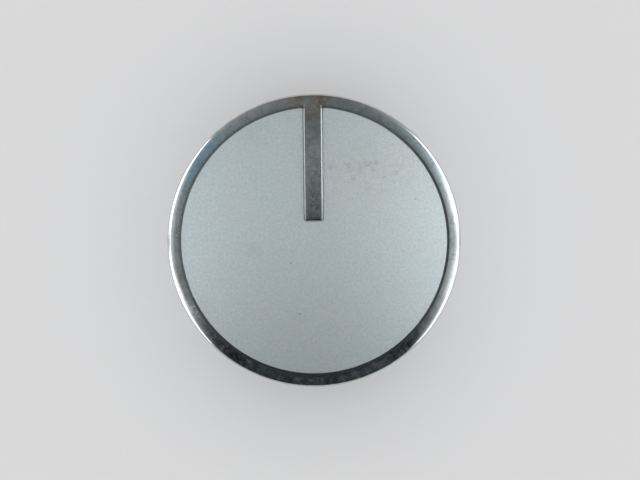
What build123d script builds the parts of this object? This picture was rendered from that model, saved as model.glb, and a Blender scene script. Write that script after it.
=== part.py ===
from build123d import *
import math
import os

# Appliance control knob: a plated shell with rim and pointer, a face disc, a drive core and its spring ring.
# Millimetres. Z is the shaft axis, from the panel edge at zero up to the face. The pointer lies along +Y.

# Plated shell
rim_diameter = 50.0
knob_height = 24.0
wall_draft_degrees = 1.0
shell_wall = 2.0
shell_floor = 2.0
rim_width = 1.95
rim_crown_degrees = 10.0
rim_edge_radius = 0.8
panel_edge_chamfer = 0.4

# Pointer bar, moulded with the shell and level with the rim
pointer_width = 3.24
pointer_tip_offset = 3.3
pointer_edge_radius = 0.25
pointer_corner_radius = 0.5

# Face disc, bonded into the recess inside the rim
disc_thickness = 0.8
disc_setback = 0.35
disc_gap = 0.42
disc_corner_radius = 0.3
disc_edge_chamfer = 0.1
slot_gap = 0.1

# Torque keys inside the shell's wall
key_count = 3
key_width = 2.4
key_depth = 1.2
key_length = 4.0
key_clearance = 0.15

# Snap lugs inside the shell's wall, which hold the core's plate up
lug_count = 3
lug_width = 6.0
lug_depth = 0.7
lug_height = 1.6
lug_clearance = 0.1

# Drive core: plate, hub and gussets in one moulding
plate_thickness = 1.8
plate_clearance = 0.15
plate_lead_in = 0.5
hub_wall = 2.2
hub_recess = 1.0
hub_draft_degrees = 0.6
hub_root_flare = 0.9
gusset_count = 4
gusset_thickness = 1.2
gusset_margin = 4.5
gusset_toe = 1.2
gusset_foot_gap = 1.0

# Shaft socket: a round pilot at the mouth, then the D that the shaft drives
shaft_diameter = 6.35
shaft_across_flat = 5.56
shaft_clearance = 0.025
pilot_clearance = 0.225
pilot_length = 3.0
mouth_chamfer = 0.5
slit_width = 0.9
slit_length = 11.0

# Spring ring in its groove round the hub
ring_thickness = 0.5
ring_width = 3.5
ring_inset = 3.0
ring_opening = 2.2
ring_clearance = 0.03
groove_depth = 0.4

# How far a cutting tool runs past the face that it cuts
overrun = 1.0

# Heights that the pieces share
recess_floor = knob_height - disc_setback - disc_thickness
floor_underside = recess_floor - shell_floor
plate_underside = floor_underside - plate_thickness
pilot_start = hub_recess + mouth_chamfer
drive_start = pilot_start + pilot_length
ring_start = hub_recess + ring_inset
ring_end = ring_start + ring_width
gusset_start = ring_end + gusset_foot_gap

# Radii that the pieces share
rim_radius = rim_diameter / 2
recess_radius = rim_radius - rim_width
disc_radius = recess_radius - disc_gap
pilot_radius = shaft_diameter / 2 + pilot_clearance
drive_radius = shaft_diameter / 2 + shaft_clearance
drive_flat = shaft_across_flat - shaft_diameter / 2 + shaft_clearance
hub_mouth_radius = pilot_radius + hub_wall
groove_radius = hub_mouth_radius - groove_depth


def outer_radius(height):
    """Radius of the shell's drafted outside, which widens from the rim towards the panel."""
    return rim_radius + (knob_height - height) * math.tan(math.radians(wall_draft_degrees))


def inner_radius(height):
    """Radius of the shell's drafted inside at a height."""
    return outer_radius(height) - shell_wall


plate_radius = inner_radius(floor_underside) - plate_clearance


def revolved(*corners, arc=360):
    """Turns an outline of (radius, height, rounding) corners about the shaft axis."""
    points = [(radius, height) for radius, height, rounding in corners]
    roundings = [rounding for radius, height, rounding in corners]
    outline = make_face(FilletPolyline(*points, radius=roundings, close=True))
    return revolve(Plane.XZ * outline, Axis.Z, arc)


def spaced(count, first_degrees):
    """Rotations about the shaft axis, evenly spaced from the first."""
    return [Rot(0, 0, first_degrees + 360 * index / count) for index in range(count)]


def between(bottom, top, sketch):
    """Extrudes a flat sketch from one height to another."""
    return Pos(0, 0, bottom) * extrude(sketch, top - bottom)


key_places = spaced(key_count, 90)
lug_places = spaced(lug_count, 90 + 180 / lug_count)
gusset_places = spaced(gusset_count, 180 / gusset_count)


def pointer_bar():
    """Bar from near the centre to the rim's outside, with rolled upper edges and a rounded tip."""
    length = rim_radius - pointer_tip_offset
    middle = pointer_tip_offset + length / 2
    bar = between(floor_underside, knob_height, Pos(0, middle) * Rectangle(pointer_width, length))
    tip_corners = bar.edges().filter_by(Axis.Z).group_by(Axis.Y)[0]
    bar = fillet(tip_corners, pointer_corner_radius)
    top_edges = bar.faces().sort_by(Axis.Z)[-1].edges().sort_by(Axis.Y)
    return fillet(top_edges[:-1], pointer_edge_radius)


def torque_key():
    """Rib down the shell's wall, on the X side, which stops the core from turning."""
    inner = inner_radius(floor_underside) - key_depth
    outer = inner_radius(floor_underside) + shell_wall / 2
    rib = Pos((inner + outer) / 2, 0) * Rectangle(outer - inner, key_width)
    return between(floor_underside - key_length, recess_floor - shell_floor / 2, rib)


def snap_lug():
    """Ramped catch on the shell's wall, centred on the X side, under the core's plate."""
    top = plate_underside - lug_clearance
    bottom = top - lug_height
    buried = inner_radius(bottom) + shell_wall / 2
    arc = math.degrees(lug_width / inner_radius(top))
    ramp = revolved(
        (inner_radius(top) - lug_depth, top, 0),
        (buried, top, 0),
        (buried, bottom, 0),
        (inner_radius(bottom), bottom, 0),
        arc=arc,
    )
    return Rot(0, 0, -arc / 2) * ramp


def chrome_shell():
    """Cup with a crowned rim, and a recess cut round the pointer so that both share one top."""
    crown = math.radians(rim_crown_degrees)
    crown_radius = (rim_width - rim_edge_radius) / math.sin(crown)
    crown_corner = recess_radius + crown_radius * math.tan(crown / 2)
    rim_corner_height = knob_height - (rim_radius - crown_corner) * math.tan(crown)
    cup = revolved(
        (0, knob_height, 0),
        (crown_corner, knob_height, crown_radius),
        (rim_radius, rim_corner_height, rim_edge_radius),
        (outer_radius(panel_edge_chamfer), panel_edge_chamfer, 0),
        (outer_radius(0) - panel_edge_chamfer, 0, 0),
        (inner_radius(0), 0, 0),
        (inner_radius(floor_underside), floor_underside, 0),
        (0, floor_underside, 0),
    )
    cup -= between(recess_floor, knob_height + overrun, Circle(recess_radius)) - pointer_bar()
    cup += [place * torque_key() for place in key_places]
    cup += [place * snap_lug() for place in lug_places]
    return cup


def face_disc():
    """Flat disc with a slot that clears the pointer all round."""
    slot_width = pointer_width + 2 * slot_gap
    slot_end = pointer_tip_offset - slot_gap
    slot_length = disc_radius + overrun - slot_end
    slot = Pos(0, slot_end + slot_length / 2) * Rectangle(slot_width, slot_length)
    slot = fillet(slot.vertices().group_by(Axis.Y)[0], pointer_corner_radius + slot_gap)
    outline = Circle(disc_radius) - slot
    outline = fillet(outline.vertices().group_by(Axis.Y)[-1], disc_corner_radius)
    disc = between(recess_floor, recess_floor + disc_thickness, outline)
    return chamfer(disc.faces().sort_by(Axis.Z)[-1].edges(), disc_edge_chamfer)


def shaft_socket():
    """Cutter for the flared mouth, the round pilot and the D above it."""
    pilot = revolved(
        (0, hub_recess, 0),
        (pilot_radius + mouth_chamfer, hub_recess, 0),
        (pilot_radius, pilot_start, 0),
        (pilot_radius, drive_start, 0),
        (0, drive_start, 0),
    )
    beyond_flat = Pos(0, drive_flat + drive_radius) * Rectangle(2 * drive_radius, 2 * drive_radius)
    drive = between(pilot_start, plate_underside, Circle(drive_radius) - beyond_flat)
    return pilot + drive


def gusset():
    """Triangular web on the X side, from the hub out under the plate."""
    reach = plate_radius - gusset_margin
    web = Polyline(
        (0, floor_underside - plate_thickness / 2),
        (reach, floor_underside - plate_thickness / 2),
        (reach, plate_underside - gusset_toe),
        (hub_mouth_radius, gusset_start),
        (0, gusset_start),
        close=True,
    )
    return extrude(Plane.XZ * make_face(web), gusset_thickness / 2, both=True)


def drive_core():
    """Plate and hub turned as one, with webs, key notches, a ring groove, slits and the socket."""
    hub_root = hub_mouth_radius + (plate_underside - hub_recess) * math.tan(math.radians(hub_draft_degrees))
    core = revolved(
        (0, floor_underside, 0),
        (plate_radius - plate_lead_in, floor_underside, 0),
        (plate_radius, floor_underside - plate_lead_in, 0),
        (plate_radius, plate_underside, 0),
        (hub_root + hub_root_flare, plate_underside, 0),
        (hub_root, plate_underside - hub_root_flare, 0),
        (hub_mouth_radius, hub_recess, 0),
        (0, hub_recess, 0),
    )
    core += [place * gusset() for place in gusset_places]

    notch_floor = inner_radius(floor_underside) - key_depth - key_clearance
    notch_length = plate_radius + overrun - notch_floor
    notch = Pos(notch_floor + notch_length / 2, 0) * Rectangle(notch_length, key_width + 2 * key_clearance)
    notch = between(plate_underside - overrun, floor_underside + overrun, notch)
    core -= [place * notch for place in key_places]

    groove = Circle(hub_root + overrun) - Circle(groove_radius)
    core -= between(ring_start - ring_clearance, ring_end + ring_clearance, groove)

    slit = Rectangle(2 * (hub_root + overrun), slit_width)
    core -= between(hub_recess - overrun, hub_recess + slit_length, slit)
    return core - shaft_socket()


def spring_ring():
    """Open band in the hub's groove, with its gap opposite the pointer."""
    inner = groove_radius + ring_clearance
    outer = inner + ring_thickness
    gap = Pos(0, -outer) * Rectangle(ring_opening, 2 * outer)
    return between(ring_start, ring_end, Circle(outer) - Circle(inner) - gap)


os.makedirs("parts", exist_ok=True)
export_step(chrome_shell(), "parts/chrome_shell.step")
export_step(face_disc(), "parts/face_disc.step")
export_step(drive_core(), "parts/drive_core.step")
export_step(spring_ring(), "parts/spring_ring.step")
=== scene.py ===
import math

import bmesh
import bpy
from mathutils import Matrix, Vector

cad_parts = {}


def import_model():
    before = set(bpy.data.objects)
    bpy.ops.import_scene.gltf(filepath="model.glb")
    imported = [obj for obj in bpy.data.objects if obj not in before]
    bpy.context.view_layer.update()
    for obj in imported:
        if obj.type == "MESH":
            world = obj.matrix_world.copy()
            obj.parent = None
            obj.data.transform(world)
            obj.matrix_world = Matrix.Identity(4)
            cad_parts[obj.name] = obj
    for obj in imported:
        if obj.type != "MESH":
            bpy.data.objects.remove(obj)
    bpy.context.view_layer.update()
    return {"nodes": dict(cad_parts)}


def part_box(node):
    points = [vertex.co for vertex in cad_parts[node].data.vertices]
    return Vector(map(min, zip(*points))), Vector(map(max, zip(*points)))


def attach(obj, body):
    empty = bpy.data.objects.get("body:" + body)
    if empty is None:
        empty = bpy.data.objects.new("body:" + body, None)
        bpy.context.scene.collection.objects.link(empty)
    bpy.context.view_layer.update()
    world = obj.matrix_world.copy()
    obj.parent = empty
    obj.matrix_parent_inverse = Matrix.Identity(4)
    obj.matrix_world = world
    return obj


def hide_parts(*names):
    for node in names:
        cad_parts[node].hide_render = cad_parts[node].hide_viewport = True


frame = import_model()

MM = 0.001


def height_of(node, corner):
    """Height of a solid's lowest (0) or highest (1) corner, in millimetres."""
    return round(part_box(node)[corner][2] / MM, 3)


# Heights that the solids give, in millimetres like all sizes here
HEIGHT = height_of("chrome_shell", 1)
DISC_TOP = height_of("face_disc", 1)
FLOOR_Z = height_of("face_disc", 0)

# Shell
RIM_R = 25.0
DRAFT = math.tan(math.radians(1.0))
WALL = 2.0
SHELL_FLOOR = 2.0
RIM_WIDTH = 1.95
RIM_EDGE_R = 0.8
RIM_CROWN = math.radians(10.0)
PANEL_CHAMFER = 0.4
CHAMFER_BREAK = 0.15
MOUTH_BREAK = 0.2
CAVITY_FILLET = 0.25
RECESS_R = RIM_R - RIM_WIDTH
UNDER_Z = FLOOR_Z - SHELL_FLOOR

# Pointer bar, one piece with the shell
BAR_HALF = 1.62
BAR_TIP = 3.3
BAR_CORNER = 0.5
BAR_ROLL = 0.35

# Face disc
DISC_GAP = 0.42
DISC_CORNER = 0.3
DISC_ROLL = 0.06
SLOT_GAP = 0.04
DISC_R = RECESS_R - DISC_GAP

# Torque keys and snap lugs inside the wall, with their turns in degrees
KEY_TURNS = (90, 210, 330)
KEY_WIDTH = 2.4
KEY_DEPTH = 1.2
KEY_LENGTH = 4.0
KEY_BREAK = 0.2
LUG_TURNS = (30, 150, 270)
LUG_WIDTH = 6.0
LUG_DEPTH = 0.7
LUG_HEIGHT = 1.6
LUG_GAP = 0.1
LUG_ROOT_R = 24.2
CORE_PLATE = 1.8
LUG_TOP = UNDER_Z - CORE_PLATE - LUG_GAP

# Facets of a full turn, a rounding, the disc's roll, the pointer's roll, length and root, and a flat sheet
TURN_STEPS = 360
ARC_STEPS = 12
DISC_ROLL_STEPS = 6
BAR_ROLL_STEPS = 10
BAR_STEPS = 40
ROOT_STEPS = 8
SHEET_STEPS = 96

# Straight runs of an outline shorter than this are left out
SHORTEST_RUN = 0.0001

# Colours of the plating, bright and in each state of wear, with painted shade on the pointer's rolled edges
# and in the groove
BRIGHT = (0.575, 0.592, 0.598)
STAINED = (0.36, 0.372, 0.378)
# Pointer's rolled edges: partly wear, partly painted shade that dims their highlights; deeper painted shade
# on the left edge and the tip
WORN_AND_SHADED_ROLL = (0.27, 0.28, 0.28)
DEEP_ROLL_SHADE = (0.10, 0.105, 0.105)
TARNISH = (0.56, 0.49, 0.40)
RUST = (0.50, 0.31, 0.20)
PIT = (0.14, 0.13, 0.12)
CAVITY = (0.46, 0.465, 0.47)
# Painted shade in the groove round the disc and where the pointer's rolls meet the recess wall
GROOVE_SHADE = (0.050, 0.058, 0.060)

# Colours of the disc: the metal, its grain, a slow drift of tint, a warmer side, and its wear
SATIN = ((0.859, 0.918, 0.930), (0.883, 0.937, 0.947))
COARSE_GRAIN = (0.632, 0.678, 0.687)
FINE_GRAIN = (0.613, 0.659, 0.669)
SATIN_TINTS = ((0.995, 1.0, 1.004), (1.012, 1.0, 0.992))
WARM_TINT = (1.03, 1.0, 0.985)
SMUDGE = (0.52, 0.53, 0.47)
MARK = (0.40, 0.41, 0.36)
SPECK = (0.30, 0.29, 0.26)

# Colours of the hidden pieces
PLASTIC = ((0.075, 0.077, 0.082), (0.105, 0.106, 0.110))
SCUFF = (0.16, 0.155, 0.15)
STEEL = ((0.40, 0.40, 0.41), (0.55, 0.55, 0.555))
STEEL_PATCH = (0.33, 0.31, 0.29)

# Heights, radii and distances from the pointer's middle that wear and painted shade of the shell fade in
# between
FACE_FADE = (HEIGHT - 1.4, HEIGHT - 0.4)
RIM_FADE = (RECESS_R - 0.15, RECESS_R + 0.10)
ROLL_FADE_X = (BAR_HALF - 0.38, BAR_HALF - 0.29)
ROLL_FADE_OUT_X = (BAR_HALF + 0.13, BAR_HALF + 0.03)
ROLL_FADE_R = (RECESS_R + 0.05, RECESS_R - 0.25)
ROLL_FADE_Z = (HEIGHT - 0.6, HEIGHT - 0.4)
ROLL_END_FADE = (RECESS_R - 0.6, RECESS_R - 0.3)
# Painted shade on the pointer's left rolled edge and on its tip fades in between these
SHADE_LEFT_FADE = (0.5, -0.5)
SHADE_TIP_FADE = (BAR_TIP + 4.7, BAR_TIP + 0.2)
GROOVE_FADE_R = (RECESS_R + 0.15, RECESS_R + 0.05)
GROOVE_FADE_IN_R = (DISC_R - 0.23, DISC_R - 0.03)
GROOVE_FADE_Z = (DISC_TOP + 0.05, DISC_TOP - 0.25)
GROOVE_FADE_LOW_Z = (FLOOR_Z - 0.55, FLOOR_Z - 0.25)
# Painted shade in the groove deepens towards the bottom and the right between these
SHADE_FADE_Y = (-8.0, -20.0)
SHADE_FADE_X = (10.0, 21.0)
CAVITY_FADE_Z = (UNDER_Z + 0.45, UNDER_Z + 0.05)
CAVITY_FADE_R = (23.75, 23.45)

# Wear on the shell's face: tarnish and rust at the pointer's root, a ring left on the pointer, a dull smear
TARNISH_CENTRE, TARNISH_R = (0.2, 24.2), 7.5
RUST_SPOTS = ((-0.3, 21.3, 1.3), (1.6, 23.8, 1.7), (-2.3, 23.9, 1.2))
RING_CENTRE, RING_R = (0.23, 15.24), 0.73
RING_FADE = (0.26, 0.04)
SMEAR_CENTRE, SMEAR_R = (-19.8, -11.0), 3.8

# Wear on the disc, as x, y and radius: dark marks, specks and dull smudges
DISC_MARKS = (
    (6.05, 12.75, 0.75), (9.1, 12.9, 0.8), (9.75, 13.1, 0.5), (10.65, 13.1, 0.7),
    (6.8, 10.6, 0.75), (8.0, 12.1, 0.6), (10.1, 11.9, 0.7), (14.0, 11.4, 0.65),
    (5.3, 13.0, 0.5), (3.0, 12.4, 0.7), (12.0, 10.6, 0.45), (9.4, 8.7, 0.5),
)
DISC_SPECKS = ((17.35, 6.85, 0.30), (-4.0, -3.8, 0.34), (-2.5, -12.5, 0.32))
DISC_SMUDGES = (
    (8.0, 12.2, 8.0), (14.5, 11.0, 4.5), (-9.5, 17.9, 3.5), (-10.4, -0.8, 2.8), (-2.3, -12.9, 1.4),
)
WARM_CENTRE, WARM_R = (12, 12), 15

# Shifts that give two patterns other noise than the rest
STAIN_SHIFT = (40.0, 9.0, 5.0)
TINT_SHIFT = (7.0, 31.0, 0.0)

# Studio: floor, surroundings, daylight, and the card that the metal mirrors from above
FLOOR_RADII = (25.0, 60.0, 300.0, 6000.0)
FLOOR_COLOUR = (0.74, 0.74, 0.745)
SURROUNDINGS = (0.70, 0.70, 0.705)
DAYLIGHT = (0.96, 1.0, 1.01)
CARD_Z = 75.5
CARD_RADII = (20.0, 120.0, 400.0)
CARD_FADE = (290.0, CARD_RADII[-1])
CARD_BASE = (0.135, 0.157, 0.162)

# The card's dim wedge on the viewer's side: colour, point, slope and soft edge
CARD_DIM = (0.022, 0.032, 0.034)
WEDGE_Y = 13.5
WEDGE_SLOPE = 1.3
WEDGE_FADE = (-13.0, 13.0)

# Bright patches of the card: centre, radius and level
PATCHES = (
    ((0, -5), 30, 1.2),
    ((55, 15), 20, 1.4),
    ((80, 0), 65, 1.35),
    ((65, -25), 35, 1.4),
    ((115, 45), 115, 1.0),
    ((-75, 5), 40, 1.4),
    ((-65, -25), 30, 1.4),
    ((-51, -20), 12, 1.2),
    ((-50, 20), 12, 0.4),
    ((-130, 45), 150, 0.6),
)

# Colour casts on the card: centre, radius and tint
CASTS = (
    ((-33, 24), 17, (0.65, 1.0, 1.25)),
    ((35, 29), 23, (0.85, 1.0, 1.1)),
    ((-25, -32), 12, (0.75, 0.5, 0.65)),
    ((25, -32), 10, (0.9, 0.6, 0.5)),
    ((17, -39), 14, (1.9, 1.95, 2.1)),
    ((39, -24), 9, (0.6, 0.6, 0.6)),
    ((42, 0), 10, (0.7, 0.7, 0.7)),
    ((0, 10), 13, (0.6, 0.6, 0.6)),
)

# Shares of the radius at full strength, in a patch, a cast and a spot of wear
PATCH_CORE_SHARE = 0.1
CAST_CORE_SHARE = 0.2
SPOT_CORE_SHARE = 0.15

# Side panels: colour, the heights that their lower ends fade in between, and their gap under the card
PANEL_COLOUR = (0.97, 1.0, 1.0)
PANEL_FADE_Z = (4.0, 18.0)
PANEL_GAP = 1.0

# Turns of a lamp, as quaternions
FACING_DOWN = (1, 0, 0, 0)
FACING_UP = (0, 1, 0, 0)

# Camera, straight above
CAMERA_LENS = 91.3
CAMERA_SENSOR = 36.0
CAMERA_PLACE = (1.01, 0.06, 300.0)
CAMERA_ROLL = math.radians(-0.63)
CAMERA_CLIP = (10.0, 20000.0)


def outer_radius(height):
    return RIM_R + (HEIGHT - height) * DRAFT


def inner_radius(height):
    return outer_radius(height) - WALL


def link(name, data):
    """Adds an object with this mesh, lamp or camera to the scene."""
    item = bpy.data.objects.new(name, data)
    bpy.context.scene.collection.objects.link(item)
    return item


# Meshes with exact normals
class Surface:
    """Collects faces whose corners carry a place and the true surface normal there."""

    def __init__(self):
        self.places, self.faces, self.normals, self.index = [], [], [], {}

    def corner(self, place):
        key = tuple(round(v, 6) for v in place)
        if key not in self.index:
            self.index[key] = len(self.places)
            self.places.append(key)
        return self.index[key]

    def face(self, corners):
        """Adds a face from (place, normal) corners, leaving out corners that fall together."""
        ids, normals = [], []
        for place, normal in corners:
            found = self.corner(place)
            if found not in ids:
                ids.append(found)
                normals.append(normal)
        if len(ids) > 2:
            self.faces.append(ids)
            self.normals += normals

    def flat(self, places, normal):
        self.face([(place, normal) for place in places])

    def bands(self, loops, closed):
        """Adds the faces between loops of corners, each above the one before."""
        for low, high in zip(loops, loops[1:]):
            for i in range(len(low) if closed else len(low) - 1):
                j = (i + 1) % len(low)
                self.face([low[j], low[i], high[i], high[j]])

    def turned(self, runs, angles):
        """Adds runs of (point, normal) turned about the axis, facing the left of their way."""
        for run in runs:
            for first, last in zip(run, run[1:]):
                for t, u in zip(angles, angles[1:]):
                    corners = (t, first), (t, last), (u, last), (u, first)
                    self.face([(around(a, point), around(a, normal)) for a, (point, normal) in corners])

    def solid(self, work):
        """Adds the faces of a bmesh in millimetres, flat shaded."""
        for item in work.faces:
            self.flat([tuple(v.co) for v in item.verts], tuple(item.normal))

    def piece(self, name, material, node):
        mesh = bpy.data.meshes.new(name)
        mesh.from_pydata([Vector(p) * MM for p in self.places], [], self.faces)
        mesh.polygons.foreach_set("use_smooth", [True] * len(self.faces))
        mesh.normals_split_custom_set([Vector(n).normalized() for n in self.normals])
        mesh.materials.append(material)
        item = link(name, mesh)
        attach(item, "root")
        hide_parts(node)


def around(angle, vector):
    """A point or normal of an outline, turned about the axis."""
    return vector.x * math.cos(angle), vector.x * math.sin(angle), vector.y


def left_of(first, last):
    """Normal on the left of the way between two points of an outline."""
    way = last - first
    return Vector((-way.y, way.x)).normalized()


def rounded(corners):
    """Runs of (point, normal) along an open outline of (radius, height, rounding) corners."""
    points = [Vector(c[:2]) for c in corners]
    cuts = [(points[0], points[0], 0)]
    for before, here, after, corner in zip(points, points[1:], points[2:], corners[1:]):
        way_in, way_out = (here - before).normalized(), (after - here).normalized()
        turn = math.atan2(way_in.x, -way_in.y) - math.atan2(way_out.x, -way_out.y)
        turn = (turn + math.pi) % (2 * math.pi) - math.pi
        reach = corner[2] * math.tan(abs(turn) / 2)
        cuts.append((here - way_in * reach, here + way_out * reach, turn))
    cuts.append((points[-1], points[-1], 0))

    runs = []
    for index in range(1, len(points)):
        first, last, turn = cuts[index - 1][1], cuts[index][0], cuts[index][2]
        side = left_of(points[index - 1], points[index])
        if (last - first).length > SHORTEST_RUN:
            runs.append([(first, side), (last, side)])
        if turn:
            radius = math.copysign(corners[index][2], turn)
            centre = last - side * radius
            turns = [Matrix.Rotation(-turn * step / ARC_STEPS, 2) for step in range(ARC_STEPS + 1)]
            normals = [part @ side for part in turns]
            runs.append([(centre + normal * radius, normal) for normal in normals])
    return runs


def arc(centre_x, centre_y, radius, start, end, steps, out=1):
    """Points along an arc, each with the way out of the piece there."""
    points = []
    for i in range(steps + 1):
        angle = start + (end - start) * i / steps
        cos, sin = math.cos(angle), math.sin(angle)
        points.append(((centre_x + radius * cos, centre_y + radius * sin), (out * cos, out * sin)))
    return points


def mirrored(points):
    """The same points on the left of the pointer's middle, in the opposite order."""
    return [((-x, y), (-nx, ny)) for (x, y), (nx, ny) in reversed(points)]


def roll_levels(radius, top, steps):
    """Inset, height and slope at each step of an edge that rolls over to its top."""
    slopes = [math.pi / 2 * i / steps for i in range(steps + 1)]
    return [(radius * (1 - math.cos(a)), top - radius * (1 - math.sin(a)), a) for a in slopes]


def rolled_loops(outline, levels):
    """Loops of (place, normal) corners, from the recess floor up through the levels of the roll."""
    loops = []
    for inset, height, slope in [(0, FLOOR_Z, 0)] + levels:
        cos, sin = math.cos(slope), math.sin(slope)
        loops.append([((x, y, height), (nx * cos, ny * cos, sin)) for (x, y), (nx, ny) in outline(inset)])
    return loops


# Shell
NORTH = math.pi / 2
BAR_LEVELS = roll_levels(BAR_ROLL, HEIGHT, BAR_ROLL_STEPS)

# Angles off north where the pointer's roll and then its flat root meet the recess wall
ROLL_SPREAD = [math.asin((BAR_HALF - inset) / RECESS_R) for inset, _, _ in BAR_LEVELS]
ROOT_SPREAD = [ROLL_SPREAD[-1] * (1 - 2 * i / ROOT_STEPS) for i in range(1, ROOT_STEPS)]

# Turns about the axis: across the pointer's root, and from its left round the open recess to its right
ROOT_ARC = [NORTH - b for b in ROLL_SPREAD + ROOT_SPREAD] + [NORTH + b for b in reversed(ROLL_SPREAD)]
OPEN_SWEEP = 2 * math.pi - 2 * ROLL_SPREAD[0]
OPEN_ARC = [NORTH + ROLL_SPREAD[0] + OPEN_SWEEP * i / TURN_STEPS for i in range(TURN_STEPS + 1)]


def recess_wall(angle, height):
    """Place on the recess wall, and its normal."""
    cos, sin = math.cos(angle), math.sin(angle)
    return (RECESS_R * cos, RECESS_R * sin, height), (-cos, -sin, 0)


def add_cup(surface):
    """Crowned rim, drafted wall, panel edge and cavity."""
    crown_r = (RIM_WIDTH - RIM_EDGE_R) / math.sin(RIM_CROWN)
    crown_corner = RECESS_R + crown_r * math.tan(RIM_CROWN / 2)
    outline = [
        (RECESS_R, HEIGHT, 0),
        (crown_corner, HEIGHT, crown_r),
        (RIM_R, HEIGHT - (RIM_R - crown_corner) * math.tan(RIM_CROWN), RIM_EDGE_R),
        (outer_radius(PANEL_CHAMFER), PANEL_CHAMFER, CHAMFER_BREAK),
        (outer_radius(0) - PANEL_CHAMFER, 0, CHAMFER_BREAK),
        (inner_radius(0), 0, MOUTH_BREAK),
        (inner_radius(UNDER_Z), UNDER_Z, CAVITY_FILLET),
        (0, UNDER_Z, 0),
    ]
    surface.turned(rounded(outline), ROOT_ARC + OPEN_ARC[1:])


def add_recess(surface):
    """Recess wall, down to the floor and, at the pointer, down to its rolled edges."""
    heights = [height for _, height, _ in BAR_LEVELS]
    for low, high in ((FLOOR_Z, heights[0]), (heights[0], HEIGHT)):
        for t, u in zip(OPEN_ARC, OPEN_ARC[1:]):
            corners = (t, low), (t, high), (u, high), (u, low)
            surface.face([recess_wall(*corner) for corner in corners])
    for i in range(BAR_ROLL_STEPS):
        for sign in (-1, 1):
            t, u = NORTH + sign * ROLL_SPREAD[i], NORTH + sign * ROLL_SPREAD[i + 1]
            corners = (t, heights[i]), (t, HEIGHT), (u, HEIGHT), (u, heights[i + 1])
            surface.face([recess_wall(*corner) for corner in corners[::-sign]])


def bar_outline(inset):
    """Pointer's outline from the rim down its right side, round the tip and back up its left side."""
    half = BAR_HALF - inset
    far = math.sqrt(RECESS_R ** 2 - half ** 2)
    corner_y = BAR_TIP + BAR_CORNER
    side = [((half, far + (corner_y - far) * i / BAR_STEPS), (1, 0)) for i in range(BAR_STEPS)]
    side += arc(BAR_HALF - BAR_CORNER, corner_y, BAR_CORNER - inset, 0, -math.pi / 2, ARC_STEPS)
    return side + mirrored(side)


def add_pointer(surface):
    """Bar that rolls over at its edges, its flat top, and the recess floor round it."""
    loops = rolled_loops(bar_outline, BAR_LEVELS)
    surface.bands(loops, closed=False)
    up = (0, 0, 1)
    root = [recess_wall(NORTH + b, HEIGHT)[0] for b in reversed(ROOT_SPREAD)]
    surface.flat([place for place, _ in reversed(loops[-1])] + root, up)
    edge = [recess_wall(a, FLOOR_Z)[0] for a in OPEN_ARC]
    surface.flat(edge + [place for place, _ in loops[0]], up)


def add_key(surface, degrees):
    """Rib down the wall, with broken edges."""
    low = Vector((inner_radius(UNDER_Z) - KEY_DEPTH, -KEY_WIDTH / 2, UNDER_Z - KEY_LENGTH))
    high = Vector((inner_radius(UNDER_Z) + WALL / 2, KEY_WIDTH / 2, FLOOR_Z - SHELL_FLOOR / 2))
    turn = Matrix.Rotation(math.radians(degrees), 3, "Z")
    work = bmesh.new()
    bmesh.ops.create_cube(work, size=1)
    bmesh.ops.scale(work, vec=high - low, verts=work.verts)
    bmesh.ops.bevel(work, geom=work.edges[:], offset=KEY_BREAK, segments=3, profile=0.5, affect="EDGES")
    bmesh.ops.translate(work, vec=(low + high) / 2, verts=work.verts)
    bmesh.ops.rotate(work, cent=(0, 0, 0), matrix=turn, verts=work.verts)
    work.normal_update()
    surface.solid(work)
    work.free()


def add_lug(surface, degrees):
    """Ramped catch on the wall, with its ends."""
    low, high = LUG_TOP - LUG_HEIGHT, LUG_TOP
    section = [
        Vector((inner_radius(high) - LUG_DEPTH, high)),
        Vector((LUG_ROOT_R, high)),
        Vector((LUG_ROOT_R, low)),
        Vector((inner_radius(low), low)),
    ]
    half = LUG_WIDTH / 2 / inner_radius(high)
    angles = [math.radians(degrees) + half * (2 * i / ARC_STEPS - 1) for i in range(ARC_STEPS + 1)]
    sides = []
    for first, last in zip(section, section[1:] + section[:1]):
        normal = left_of(first, last)
        sides.append([(first, normal), (last, normal)])
    surface.turned(sides, angles)
    for angle, sign in ((angles[0], -1), (angles[-1], 1)):
        normal = (-math.sin(angle) * sign, math.cos(angle) * sign, 0)
        surface.flat([around(angle, point) for point in section[::sign]], normal)


def chrome_shell():
    surface = Surface()
    add_cup(surface)
    add_recess(surface)
    add_pointer(surface)
    for degrees in KEY_TURNS:
        add_key(surface, degrees)
    for degrees in LUG_TURNS:
        add_lug(surface, degrees)
    surface.piece("shell", chrome(), "chrome_shell")


# Disc
def disc_outline(inset):
    """Disc's outline from the slot's end up its right side, round to the bottom and back on the left."""
    slot_half, slot_corner = BAR_HALF + SLOT_GAP, BAR_CORNER + SLOT_GAP
    end_x, end_y = slot_half - slot_corner, BAR_TIP - SLOT_GAP + slot_corner
    corner_x = slot_half + DISC_CORNER
    corner_y = math.sqrt((DISC_R - DISC_CORNER) ** 2 - corner_x ** 2)
    lean = math.atan2(corner_y, corner_x)
    side = arc(end_x, end_y, slot_corner + inset, -math.pi / 2, 0, ARC_STEPS, out=-1)
    side += arc(corner_x, corner_y, DISC_CORNER - inset, math.pi, lean, ARC_STEPS)[:-1]
    side += arc(0, 0, DISC_R - inset, lean, -math.pi / 2, TURN_STEPS // 2)
    return side + mirrored(side[:-1])


def face_disc():
    surface = Surface()
    loops = rolled_loops(disc_outline, roll_levels(DISC_ROLL, DISC_TOP, DISC_ROLL_STEPS))
    surface.bands(loops, closed=True)
    surface.flat([place for place, _ in reversed(loops[-1])], (0, 0, 1))
    surface.flat([place for place, _ in loops[0]], (0, 0, -1))
    surface.piece("disc", satin(), "face_disc")


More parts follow.
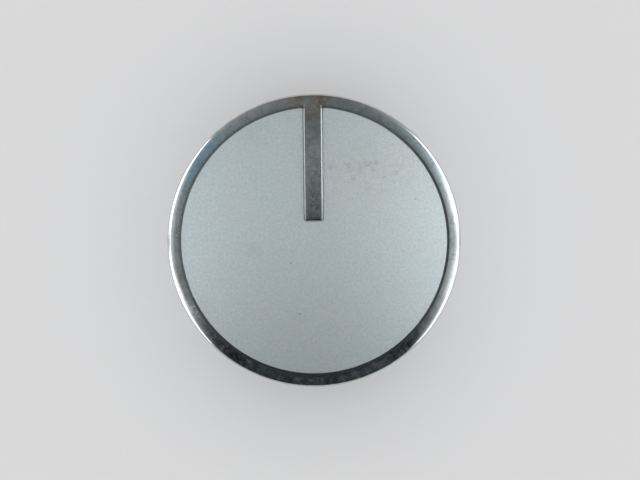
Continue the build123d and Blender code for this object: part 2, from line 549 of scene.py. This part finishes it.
# Shader graphs
class Graph:
    """Short calls for adding and joining shader nodes."""

    def __init__(self, tree):
        self.tree = tree
        tree.nodes.clear()

    def add(self, kind, inputs=None, **settings):
        item = self.tree.nodes.new(kind)
        for name, value in settings.items():
            setattr(item, name, value)
        for name, value in (inputs or {}).items():
            self.put(item.inputs[name], value)
        return item

    def put(self, socket, value):
        if isinstance(value, bpy.types.NodeSocket):
            self.tree.links.new(value, socket)
        elif hasattr(socket.default_value, "__len__") and len(socket.default_value) == 4:
            socket.default_value = (*value, 1.0)
        else:
            socket.default_value = value

    def end(self, kind, shader):
        self.put(self.add(kind).inputs["Surface"], shader.outputs[0])

    def math(self, operation, first, second=0.0, third=0.0):
        return self.add("ShaderNodeMath", {0: first, 1: second, 2: third}, operation=operation).outputs[0]

    def times(self, first, *others):
        for other in others:
            first = self.math("MULTIPLY", first, other)
        return first

    def most(self, first, *others):
        for other in others:
            first = self.math("MAXIMUM", first, other)
        return first

    def shift(self, base, *shares):
        """The base plus each mask times its amount."""
        for mask, amount in shares:
            base = self.math("MULTIPLY_ADD", mask, amount, base)
        return base

    def vector(self, operation, first, second=None, scale=None):
        item = self.add("ShaderNodeVectorMath", {0: first}, operation=operation)
        if second is not None:
            self.put(item.inputs[1], second)
        if scale is not None:
            self.put(item.inputs["Scale"], scale)
        return item.outputs["Value" if operation in ("LENGTH", "DISTANCE") else "Vector"]

    def place(self):
        """Place in the part's frame, in millimetres."""
        return self.vector("SCALE", self.add("ShaderNodeTexCoord").outputs["Object"], scale=1 / MM)

    def plan(self, place):
        """A place as seen from above, without its height."""
        return self.vector("MULTIPLY", place, (1, 1, 0))

    def axes(self, place):
        """A place's x, y and z, and its distance from the axis."""
        split = self.add("ShaderNodeSeparateXYZ", {0: place})
        return *split.outputs, self.vector("LENGTH", self.plan(place))

    def ramp(self, value, low, high, bottom=0.0, top=1.0):
        """Smooth step from bottom to top as the value goes from low to high."""
        item = self.add("ShaderNodeMapRange", {"Value": value}, interpolation_type="SMOOTHSTEP")
        for name, number in (("From Min", low), ("From Max", high), ("To Min", bottom), ("To Max", top)):
            self.put(item.inputs[name], number)
        return item.outputs[0]

    def near(self, place, centre, radius, core=SPOT_CORE_SHARE):
        """One in the core of a round spot seen from above, falling to zero at its radius."""
        away = self.vector("DISTANCE", self.plan(place), (*centre, 0))
        return self.ramp(away, radius, radius * core)

    def spots(self, place, table):
        """Nearness to the closest of a table of (x, y, radius) spots."""
        return self.most(*[self.near(place, (x, y), radius) for x, y, radius in table])

    def noise(self, place, scale, detail=2, roughness=0.5, distortion=0.0):
        inputs = {"Vector": place, "Scale": scale, "Detail": detail}
        inputs.update({"Roughness": roughness, "Distortion": distortion})
        return self.add("ShaderNodeTexNoise", inputs).outputs["Fac"]

    def clouds(self, place, low, high, **settings):
        """Noise as soft patches, zero below the low level and one above the high one."""
        return self.ramp(self.noise(place, **settings), low, high)

    def bump(self, strength, depth, height, under=None):
        """Normal of bumps of a depth in millimetres, over other bumps where they are given."""
        item = self.add("ShaderNodeBump", {"Strength": strength, "Distance": depth * MM, "Height": height})
        if under is not None:
            self.put(item.inputs["Normal"], under)
        return item.outputs[0]

    def mix(self, share, first, second, blend="MIX"):
        item = self.add("ShaderNodeMix", data_type="RGBA", blend_type=blend)
        for socket, value in ((0, share), (6, first), (7, second)):
            self.put(item.inputs[socket], value)
        return item.outputs[2]

    def tinted(self, colour, tint):
        return self.mix(1.0, colour, tint, "MULTIPLY")

    def layers(self, colour, *coats):
        """The colour under coats of (mask, share, colour)."""
        for mask, share, coat in coats:
            colour = self.mix(self.times(mask, share), colour, coat)
        return colour


# Materials
def material_of(name):
    item = bpy.data.materials.new(name)
    item.use_nodes = True
    return item, Graph(item.node_tree)


def finish_material(g, colour, rough, normal, **others):
    inputs = {"Base Color": colour, "Roughness": rough, "Normal": normal, **others}
    g.end("ShaderNodeOutputMaterial", g.add("ShaderNodeBsdfPrincipled", inputs))


def plating_haze(g, place, radius, face):
    """Haze in blotches on the rim and swirls on the pointer, and stain. The wall is cleaner."""
    dirty = g.shift(0.20, (face, 0.80))
    blotch = g.clouds(place, 0.47, 0.66, scale=0.95, detail=5, roughness=0.68, distortion=0.7)
    swirl = g.clouds(place, 0.46, 0.64, scale=0.62, detail=4, roughness=0.66, distortion=2.6)
    from_ring = g.math("SUBTRACT", g.vector("DISTANCE", g.plan(place), (*RING_CENTRE, 0)), RING_R)
    ring = g.ramp(g.math("ABSOLUTE", from_ring), *RING_FADE, top=0.75)
    haze = g.most(g.times(blotch, g.ramp(radius, *RIM_FADE)), g.times(swirl, 0.8), ring)
    shifted = g.vector("ADD", place, STAIN_SHIFT)
    stain = g.clouds(shifted, 0.45, 0.66, scale=0.70, detail=5, roughness=0.66, distortion=1.2)
    return g.times(haze, dirty), g.times(stain, dirty)


def pointer_wear_and_shade(g, x, y, z, radius):
    """Wear and painted shade of the pointer's rolled edges, dimming their highlights, with deeper painted
    shade on the left edge and at the tip.
    """
    aside = g.math("ABSOLUTE", x)
    on_roll = g.times(g.ramp(aside, *ROLL_FADE_X), g.ramp(aside, *ROLL_FADE_OUT_X))
    roll_wear_and_shade = g.times(on_roll, g.ramp(radius, *ROLL_FADE_R), g.ramp(z, *ROLL_FADE_Z))
    roll_shade_left_and_tip = g.most(g.ramp(x, *SHADE_LEFT_FADE, top=0.5), g.ramp(y, *SHADE_TIP_FADE, top=0.9))
    return roll_wear_and_shade, roll_shade_left_and_tip


def groove_painted_shade(g, x, y, z, radius):
    """Painted shade in the groove round the disc, darkest at the bottom and right."""
    groove = g.times(
        g.ramp(radius, *GROOVE_FADE_R),
        g.ramp(radius, *GROOVE_FADE_IN_R),
        g.ramp(z, *GROOVE_FADE_Z),
        g.ramp(z, *GROOVE_FADE_LOW_Z),
    )
    deeper_shade = g.most(g.ramp(y, *SHADE_FADE_Y, 0.55, 1.0), g.ramp(x, *SHADE_FADE_X, 0.55, 0.85))
    return g.times(groove, deeper_shade)


def root_rust(g, place, face):
    """Tarnish and rust where the pointer meets the rim."""
    brown = g.clouds(place, 0.32, 0.62, scale=0.55, detail=3, roughness=0.6, distortion=0.8)
    grain = g.clouds(place, 0.38, 0.62, scale=1.1, detail=4, roughness=0.65, distortion=0.6)
    tarnish = g.times(g.near(place, TARNISH_CENTRE, TARNISH_R), brown, face)
    return tarnish, g.times(g.spots(place, RUST_SPOTS), grain, face)


def chrome():
    item, g = material_of("chrome_plating")
    place = g.place()
    x, y, z, radius = g.axes(place)
    face = g.ramp(z, *FACE_FADE)
    haze, stain = plating_haze(g, place, radius, face)
    # Wear with painted shade on the pointer's rolled edges, deeper on the left and at the tip
    roll_wear_and_shade, roll_shade_left_and_tip = pointer_wear_and_shade(g, x, y, z, radius)
    tarnish, rust = root_rust(g, place, face)
    tarnish = g.times(tarnish, g.math("SUBTRACT", 1.0, roll_wear_and_shade))
    streaks = g.clouds(place, 0.42, 0.66, scale=0.9, detail=4, roughness=0.65, distortion=1.2)
    smear = g.times(g.near(place, SMEAR_CENTRE, SMEAR_R), streaks, face)
    # Painted shade where the pointer's rolled edges meet the recess wall
    roll_root_shade = g.times(roll_wear_and_shade, face, g.ramp(radius, *ROLL_END_FADE))
    # Painted shade in the groove and at the pointer's root darkens the colour, roughens and dulls the metal
    groove_and_root_shade = g.most(groove_painted_shade(g, x, y, z, radius), roll_root_shade)
    inside = g.times(g.ramp(z, *CAVITY_FADE_Z), g.ramp(radius, *CAVITY_FADE_R))
    cells = g.add("ShaderNodeTexVoronoi", {"Vector": place, "Scale": 0.8}).outputs["Distance"]
    pits = g.times(g.ramp(cells, 0.12, 0.06), g.clouds(place, 0.56, 0.64, scale=0.25))

    # Plating colour, with painted shade on the pointer's rolls, at its root and in the groove
    colour = g.layers(
        BRIGHT,
        (stain, 0.55, STAINED),
        (roll_wear_and_shade, 0.75, g.mix(roll_shade_left_and_tip, WORN_AND_SHADED_ROLL, DEEP_ROLL_SHADE)),
        (tarnish, 0.85, TARNISH),
        (rust, 0.85, RUST),
        (pits, 0.6, PIT),
        (inside, 1.0, CAVITY),
        (groove_and_root_shade, 0.85, GROOVE_SHADE),
    )
    rough = g.shift(
        0.05,
        (haze, 0.07),
        (roll_wear_and_shade, g.shift(0.22, (roll_shade_left_and_tip, 0.12))),
        (rust, 0.10),
        (smear, 0.25),
        (inside, 0.30),
        (groove_and_root_shade, 0.35),
    )
    metal = g.shift(1.0, (haze, -0.085), (smear, -0.12), (groove_and_root_shade, -0.40), (inside, -0.45))
    ripple = g.bump(0.3, 0.012, g.noise(place, scale=1.3, detail=3, roughness=0.6))
    wave = g.bump(0.5, 0.02, g.noise(place, scale=0.35), under=ripple)
    finish_material(g, colour, rough, wave, Metallic=metal)
    return item


def satin():
    item, g = material_of("satin_aluminium")
    place = g.place()
    fine = g.noise(place, scale=6.5, roughness=0.6)
    grain = g.noise(place, scale=2.2, detail=3, roughness=0.6)
    mottle = g.clouds(place, 0.3, 0.7, scale=0.30, detail=3, roughness=0.55)
    shifted = g.vector("ADD", place, TINT_SHIFT)
    drift = g.clouds(shifted, 0.34, 0.66, scale=0.22, detail=1, roughness=0.4)
    cloud = g.clouds(place, 0.42, 0.66, scale=0.9, detail=4, roughness=0.65, distortion=0.7)
    crumbs = g.clouds(place, 0.38, 0.60, scale=3.6, detail=3, roughness=0.65, distortion=0.6)

    colour = g.layers(
        g.mix(mottle, *SATIN),
        (g.ramp(grain, 0.28, 0.72), 0.52, COARSE_GRAIN),
        (g.ramp(fine, 0.3, 0.7), 0.42, FINE_GRAIN),
    )
    colour = g.tinted(colour, g.mix(drift, *SATIN_TINTS))
    colour = g.mix(g.near(place, WARM_CENTRE, WARM_R), colour, g.tinted(colour, WARM_TINT))
    colour = g.layers(
        colour,
        (g.times(g.spots(place, DISC_SMUDGES), cloud), 0.26, SMUDGE),
        (g.times(g.spots(place, DISC_MARKS), crumbs), 0.50, MARK),
        (g.spots(place, DISC_SPECKS), 0.45, SPECK),
    )
    rough = g.shift(0.50, (grain, 0.06))
    finish_material(g, colour, rough, g.bump(0.2, 0.02, fine), Metallic=0.95)
    return item


def moulded():
    item, g = material_of("core_plastic")
    place = g.place()
    grain = g.noise(place, scale=6.0, detail=4, roughness=0.7)
    flow = g.noise(place, scale=0.25, distortion=0.8)
    scuffs = g.clouds(place, 0.60, 0.75, scale=1.3, detail=4, roughness=0.6)
    colour = g.layers(g.mix(flow, *PLASTIC), (scuffs, 0.35, SCUFF))
    rough = g.shift(0.42, (grain, 0.18))
    finish_material(g, colour, rough, g.bump(0.35, 0.04, grain), IOR=1.5)
    return item


def spring():
    item, g = material_of("spring_steel")
    place = g.place()
    lines = g.vector("MULTIPLY", place, (0.25, 0.25, 9.0))
    brushed = g.noise(lines, scale=1.0, detail=4, roughness=0.7)
    patches = g.clouds(place, 0.5, 0.7, scale=0.6, detail=3, roughness=0.6)
    colour = g.layers(g.mix(brushed, *STEEL), (patches, 0.4, STEEL_PATCH))
    rough = g.shift(0.24, (brushed, 0.15))
    finish_material(g, colour, rough, g.bump(0.3, 0.03, brushed), Metallic=1.0)
    return item


def dress(node, material):
    """Gives a material to a solid that the scene keeps."""
    mesh = frame["nodes"][node].data
    mesh.materials.clear()
    mesh.materials.append(material)


# Studio
def flat_rings(name, radii, height, material, closed=False):
    """Round sheet in rings, with a hole in the middle unless it is closed."""
    count = SHEET_STEPS
    turns = [2 * math.pi * i / count for i in range(count)]
    places = [(r * math.cos(t) * MM, r * math.sin(t) * MM, height * MM) for r in radii for t in turns]
    faces = [tuple(range(count))] if closed else []
    for k in range(0, len(places) - count, count):
        for i in range(count):
            j = (i + 1) % count
            faces.append((k + i, k + count + i, k + count + j, k + j))
    mesh = bpy.data.meshes.new(name)
    mesh.from_pydata(places, [], faces)
    mesh.materials.append(material)
    item = link(name, mesh)
    return item


def floor_paint():
    """Pale matte paint, clear from below so that the underside can be seen."""
    item, g = material_of("floor_paint")
    matte = g.add("ShaderNodeBsdfDiffuse", {"Color": FLOOR_COLOUR})
    clear = g.add("ShaderNodeBsdfTransparent")
    back = g.add("ShaderNodeNewGeometry").outputs["Backfacing"]
    both = g.add("ShaderNodeMixShader", {0: back, 1: matte.outputs[0], 2: clear.outputs[0]})
    g.end("ShaderNodeOutputMaterial", both)
    return item


def world():
    """Plain pale surroundings."""
    item = bpy.data.worlds.new("studio")
    bpy.context.scene.world = item
    item.use_nodes = True
    g = Graph(item.node_tree)
    sky = g.add("ShaderNodeBackground", {"Color": SURROUNDINGS, "Strength": 1.0})
    g.end("ShaderNodeOutputWorld", sky)


def card_glow():
    """Dim overhead and on the viewer's side, bright to the right and left, pale at the edge."""
    item, g = material_of("card_glow")
    place = g.place()
    x, y, _, radius = g.axes(place)
    slant = g.times(g.math("ABSOLUTE", x), WEDGE_SLOPE)
    depth = g.math("SUBTRACT", g.math("SUBTRACT", WEDGE_Y, y), slant)
    light = CARD_BASE
    for centre, reach, level in PATCHES:
        glow = g.mix(1.0, light, [level * share for share in DAYLIGHT], "ADD")
        light = g.mix(g.near(place, centre, reach, PATCH_CORE_SHARE), light, glow)
    light = g.mix(g.ramp(depth, *WEDGE_FADE), light, CARD_DIM)
    for centre, reach, tint in CASTS:
        light = g.mix(g.near(place, centre, reach, CAST_CORE_SHARE), light, g.tinted(light, tint))
    light = g.mix(g.ramp(radius, *CARD_FADE), light, SURROUNDINGS)
    g.end("ShaderNodeOutputMaterial", g.add("ShaderNodeEmission", {"Color": light, "Strength": 1.0}))
    return item


def top_card():
    """Backdrop close above the knob, which only polished surfaces mirror."""
    item = flat_rings("top_card", CARD_RADII, CARD_Z, card_glow(), closed=True)
    item.visible_camera = item.visible_diffuse = item.visible_shadow = False
    item.visible_transmission = item.visible_volume_scatter = False


def lamp(name, place, turn, width, height, level, pattern, matte=True, metal=True):
    """Flat panel of a level of light, shaded by a pattern, for matte surfaces, metal or both."""
    data = bpy.data.lights.new(name, "AREA")
    data.shape, data.size, data.size_y = "RECTANGLE", width * MM, height * MM
    data.energy = level * math.pi * data.size * data.size_y
    data.use_nodes = True
    g = Graph(data.node_tree)
    g.end("ShaderNodeOutputLight", g.add("ShaderNodeEmission", pattern(g)))
    item = link(name, data)
    item.location = Vector(place) * MM
    item.rotation_mode = "QUATERNION"
    item.rotation_quaternion = turn
    item.visible_camera, item.visible_diffuse, item.visible_glossy = False, matte, metal


def soft_lights():
    """Plain broad light from above for matte surfaces, and a fill for the underside."""
    def plain(g):
        return {"Color": (1.0, 1.0, 1.0), "Strength": 1.0}
    lamp(
        "soft_light", place=(0, 0, 1500), turn=FACING_DOWN, width=3000, height=3000,
        level=0.45, pattern=plain, metal=False,
    )
    lamp(
        "fill_light", place=(0, 0, -500), turn=FACING_UP, width=1400, height=1400,
        level=0.35, pattern=plain,
    )


def side_light(name, azimuth, zenith, reach, width, height, level, taper, soft, seam_width, seam_level):
    """Soft panel beside the knob, rounded at the top, with a dimmer seam down its middle."""
    turn, tilt = math.radians(azimuth), math.radians(zenith)
    way = Vector((math.cos(turn) * math.sin(tilt), math.sin(turn) * math.sin(tilt), math.cos(tilt)))
    place = Vector((0, 0, HEIGHT)) + way * reach
    rise = height / 2 * math.sin(tilt)
    lowest, lower, highest = [(z - place.z) / rise for z in (*PANEL_FADE_Z, CARD_Z - PANEL_GAP)]

    def pattern(g):
        spread = g.add("ShaderNodeNewGeometry").outputs["Parametric"]
        spread = g.add("ShaderNodeSeparateXYZ", {0: spread}).outputs
        across, up = g.shift(-1.0, (spread[0], 2.0)), g.shift(-1.0, (spread[1], 2.0))
        over = g.most(up, 0.0)
        narrow = g.math("DIVIDE", across, g.shift(1.0, (over, -taper)))
        edge = g.add("ShaderNodeCombineXYZ", {0: narrow, 1: over}).outputs[0]
        glow = g.ramp(g.vector("LENGTH", edge), 1.0, soft)
        seam = g.ramp(g.math("ABSOLUTE", across), 0.0, seam_width, seam_level, 1.0)
        shown = g.times(g.ramp(up, lowest, lower), g.math("LESS_THAN", up, highest))
        return {"Color": PANEL_COLOUR, "Strength": g.times(glow, seam, shown)}
    lamp(name, place, way.to_track_quat("Z", "Y"), width, height, level, pattern, matte=False)


def camera():
    data = bpy.data.cameras.new("camera")
    data.lens, data.sensor_width = CAMERA_LENS, CAMERA_SENSOR
    data.clip_start, data.clip_end = [distance * MM for distance in CAMERA_CLIP]
    item = link("camera", data)
    item.location = Vector(CAMERA_PLACE) * MM
    item.rotation_euler = (0, 0, CAMERA_ROLL)
    bpy.context.scene.camera = item


chrome_shell()
face_disc()
dress("drive_core", moulded())
dress("spring_ring", spring())
flat_rings("floor", FLOOR_RADII, 0.0, floor_paint())
world()
soft_lights()
top_card()
side_light(
    "right_light", azimuth=0, zenith=68, reach=79, width=188, height=176,
    level=1.65, taper=0.47, soft=0.75, seam_width=0.15, seam_level=0.25,
)
side_light(
    "left_light", azimuth=180, zenith=78, reach=76, width=160, height=130,
    level=1.9, taper=0.6, soft=0.9, seam_width=0.12, seam_level=0.1,
)
camera()

bpy.context.scene.view_settings.view_transform = "Standard"
bpy.context.view_layer.update()
